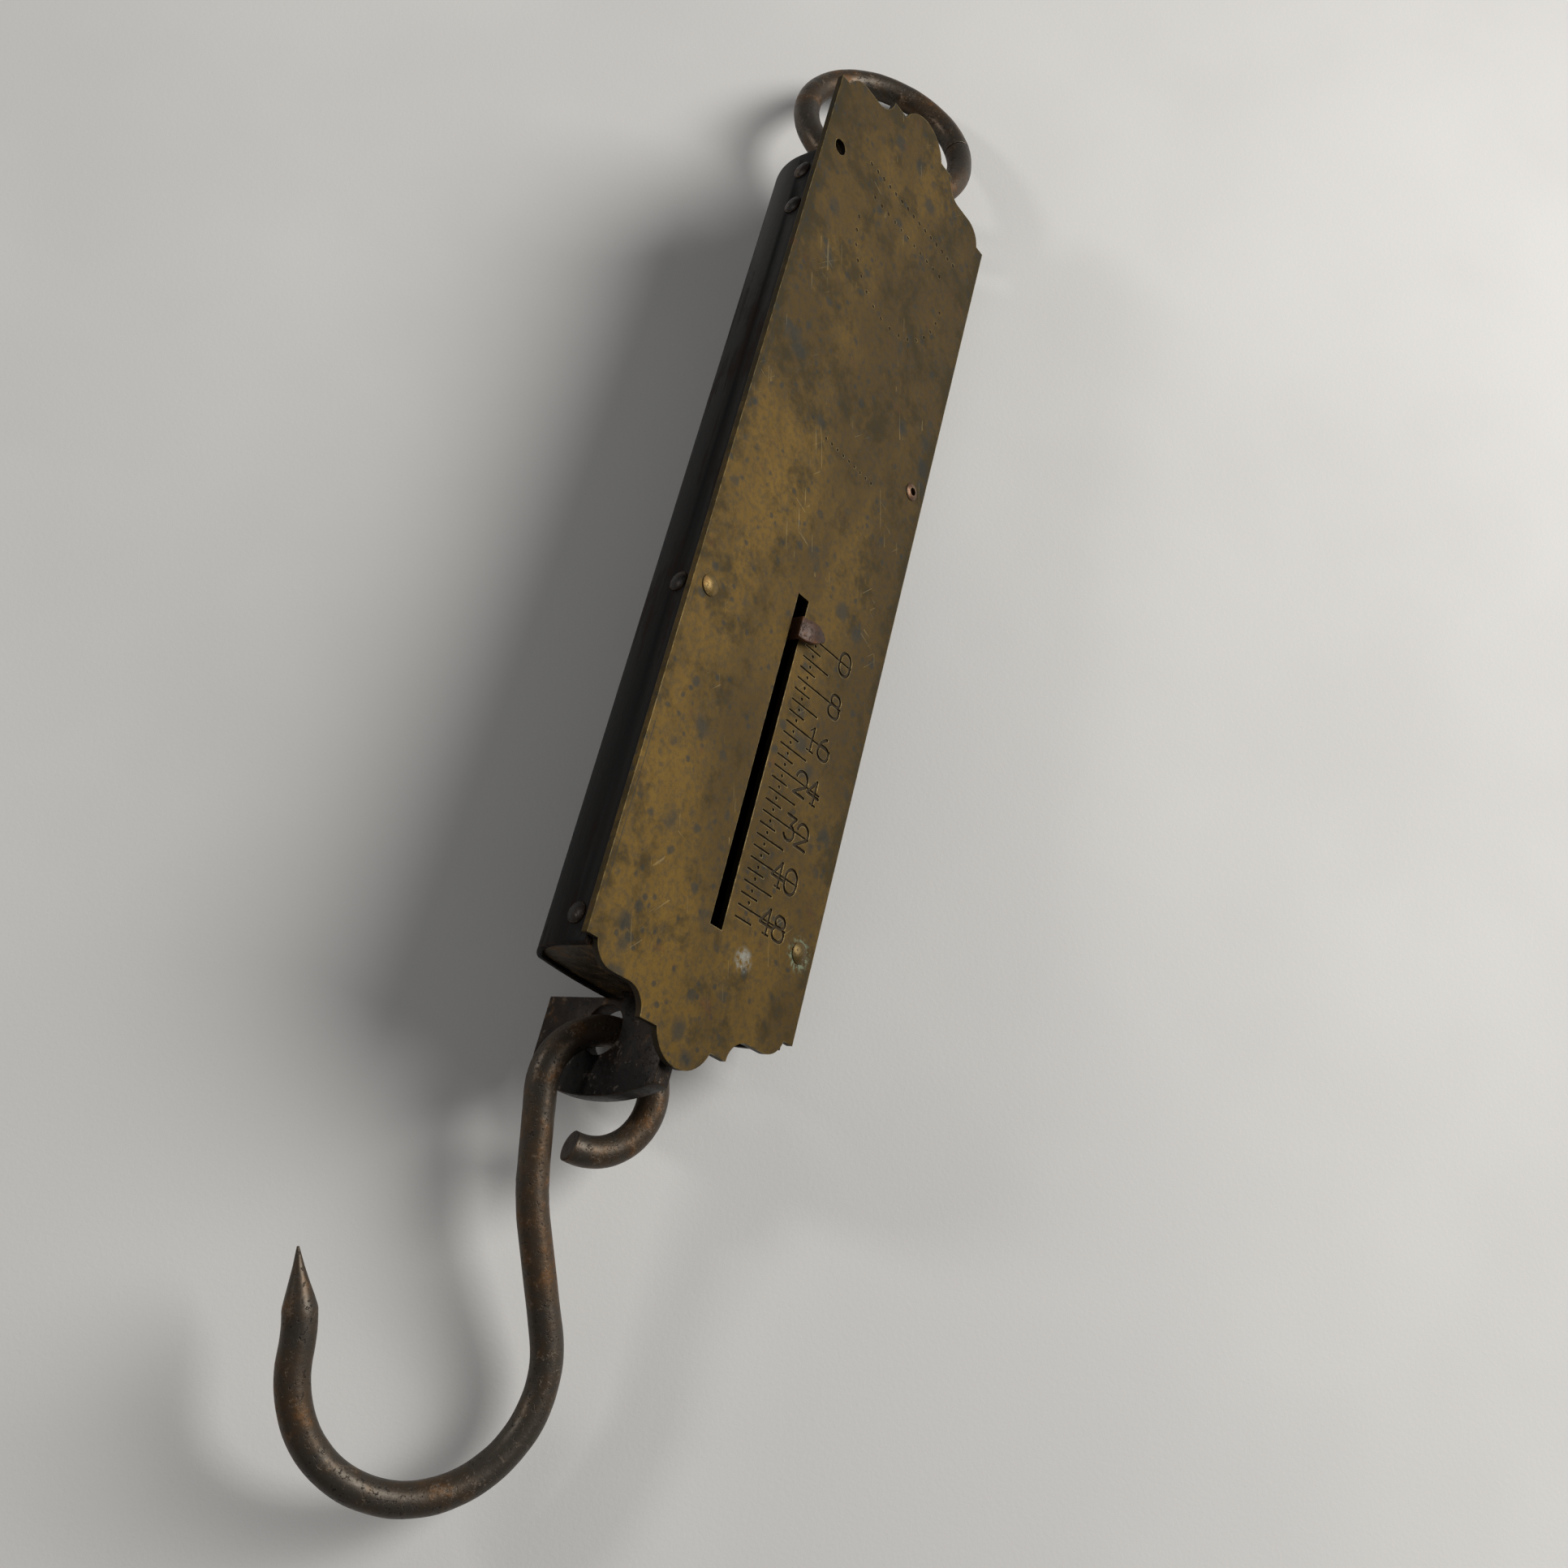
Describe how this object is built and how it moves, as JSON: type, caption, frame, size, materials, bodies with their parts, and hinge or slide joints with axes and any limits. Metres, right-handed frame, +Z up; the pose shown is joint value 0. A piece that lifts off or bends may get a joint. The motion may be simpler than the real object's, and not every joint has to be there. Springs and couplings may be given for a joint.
{
  "type": "hanging spring balance",
  "caption": "Hanging spring balance with a long scalloped brass face, slotted scale and pointer, iron case, ring at the top and a pointed load hook below.",
  "frame": {"origin": "centre of the suspension eye, where the ring carries the balance; the spring's axis runs straight down from it", "axes": "+Z up along the spring's axis towards the ring, -Y out of the brass face, +X to the right when facing the scale"},
  "size_m": [0.0562, 0.0394, 0.2915],
  "materials": {
    "face_brass": "brass sheet with a heavy olive-brown patina, dark stains and fine bright scratches",
    "case_japan": "black japanned sheet iron, rubbed through to brown rust at edges",
    "end_iron": "brown rusted iron sheet, matt",
    "plate_iron": "dark forged iron with a brown worn rim",
    "ring_iron": "dark brown rusted iron wire, soft highlights",
    "hook_iron": "dark brown rusted iron wire with orange-brown patches",
    "spring_steel": "dull oiled spring steel",
    "plug_iron": "turned iron, matt",
    "pointer_rust": "thin iron with bright orange-brown rust",
    "rivet_iron": "small rusted iron rivets",
    "rivet_brass": "small tarnished brass rivets"
  },
  "bodies": {
    "case": {"face_plate": "face_brass", "case_shell": "case_japan", "top_end_plate": "end_iron", "bottom_end_plate": "end_iron", "suspension_plate": "plate_iron", "main_spring": "spring_steel", "upper_spring_plug": "plug_iron", "upper_plug_pin": "plug_iron", "upper_left_lug": "end_iron", "upper_right_lug": "end_iron", "lower_left_lug": "end_iron", "lower_right_lug": "end_iron", "lug_rivets": "rivet_iron", "face_rivets": "rivet_brass", "eyelet_rivet": "rivet_brass", "end_plate_rivets": "rivet_iron"},
    "draw": {"draw_bar": "plate_iron", "lower_spring_plug": "plug_iron", "lower_plug_pin": "plug_iron", "pointer": "pointer_rust", "pointer_rivet": "pointer_rust"},
    "ring": {"hanging_ring": "ring_iron"},
    "hook": {"load_hook": "hook_iron"}
  },
  "joints": [
    {"name": "draw_slide", "type": "slide", "parent": "case", "child": "draw", "axis": [0, 0, -1], "range_m": [0, 0.053], "stiffness_N_per_m": 4200, "deforming": ["main_spring"]},
    {"name": "ring_swing", "type": "hinge", "parent": "case", "child": "ring", "pos_m": [0, 0, 0], "axis": [1, 0, 0], "range_deg": [-96, 0]},
    {"name": "hook_swing", "type": "hinge", "parent": "draw", "child": "hook", "pos_m": [0, 0.0066, -0.179], "axis": [1, 0, 0], "range_deg": [-60, 45]}
  ]
}
